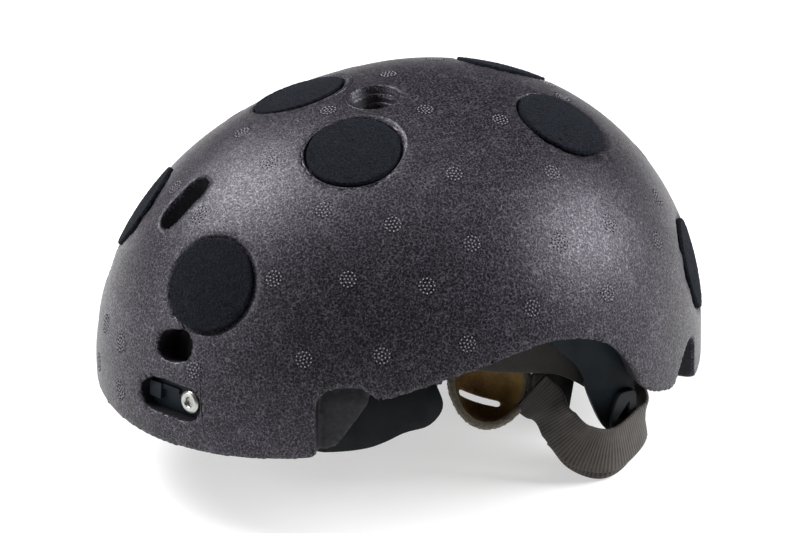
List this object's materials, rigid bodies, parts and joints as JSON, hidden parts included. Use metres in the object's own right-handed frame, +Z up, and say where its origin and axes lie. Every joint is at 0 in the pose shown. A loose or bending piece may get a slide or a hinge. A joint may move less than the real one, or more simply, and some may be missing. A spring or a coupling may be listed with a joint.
{
  "type": "water helmet",
  "caption": "Open-ear foam helmet for water sports with hook-and-loop discs on the dome, an inner strap harness, chin cup, nape cradle and side-release buckle.",
  "frame": {"origin": "middle of the head opening, level with the front rim", "axes": "+Z up towards the crown, -Y towards the brow, +X towards the wearer's left"},
  "size_m": [0.2082, 0.2571, 0.1458],
  "materials": {
    "foam": "satin moulded bead foam",
    "hook": "dense hook pile",
    "black_plastic": "fine moulded texture",
    "grey_plastic": "smooth moulding",
    "steel": "satin",
    "webbing": "ribbed woven tape",
    "leather": "matt nubuck",
    "fleece": "woolly binding",
    "padding": "brushed knit over foam"
  },
  "bodies": {
    "helmet": {"foam_shell": "foam", "hook_disc_front_left": "hook", "hook_disc_front_right": "hook", "hook_disc_crown_front_left": "hook", "hook_disc_crown_front_right": "hook", "hook_disc_crown_rear_left": "hook", "hook_disc_crown_rear_right": "hook", "hook_disc_rear_left": "hook", "hook_disc_rear_right": "hook", "anchor_plate_left": "black_plastic", "anchor_plate_right": "black_plastic", "anchor_rivet_left": "steel", "anchor_rivet_right": "steel", "temple_wing_left": "black_plastic", "temple_wing_right": "black_plastic", "side_strap_left": "webbing", "side_strap_right": "webbing", "chin_strap": "webbing", "strap_anchor_left": "black_plastic", "strap_anchor_right": "black_plastic", "cradle_pivot_left": "steel", "cradle_pivot_right": "steel", "strap_divider_right": "black_plastic", "strap_divider_left": "black_plastic", "chin_cup": "leather", "cup_binding": "fleece", "cup_tab_rear": "webbing", "cup_tab_front": "fleece", "buckle_male": "black_plastic", "pad_front": "padding", "pad_rear": "padding", "pad_side_left": "padding", "pad_side_right": "padding", "pad_crown": "padding"},
    "cradle": {"cradle_arm_left": "black_plastic", "cradle_arm_right": "black_plastic", "strap_guide_left": "grey_plastic", "strap_guide_right": "grey_plastic", "nape_band": "black_plastic", "nape_pad": "padding"},
    "buckle_slide": {"buckle_female": "black_plastic", "short_strap": "webbing"},
    "prong_upper": {"buckle_prong_upper": "black_plastic"},
    "prong_lower": {"buckle_prong_lower": "black_plastic"}
  },
  "joints": [
    {"name": "cradle_tilt", "type": "hinge", "parent": "helmet", "child": "cradle", "pos_m": [0, 0.047, 0.043], "axis": [1, 0, 0], "range_deg": [-3.5, 1.5]},
    {"name": "buckle_release", "type": "slide", "parent": "helmet", "child": "buckle_slide", "axis": [-0.02, 0.9852, -0.17], "range_m": [0, 0.019]},
    {"name": "prong_upper_squeeze", "type": "hinge", "parent": "helmet", "child": "prong_upper", "pos_m": [-0.06004, -0.01287, 0.01957], "axis": [0.9998, 0.0203, 0], "range_deg": [-6, 0], "stiffness_Nm_per_rad": 0.05},
    {"name": "prong_lower_squeeze", "type": "hinge", "parent": "helmet", "child": "prong_lower", "pos_m": [-0.05998, -0.01614, 0.00065], "axis": [0.9998, 0.0203, 0], "range_deg": [0, 6], "stiffness_Nm_per_rad": 0.05}
  ]
}
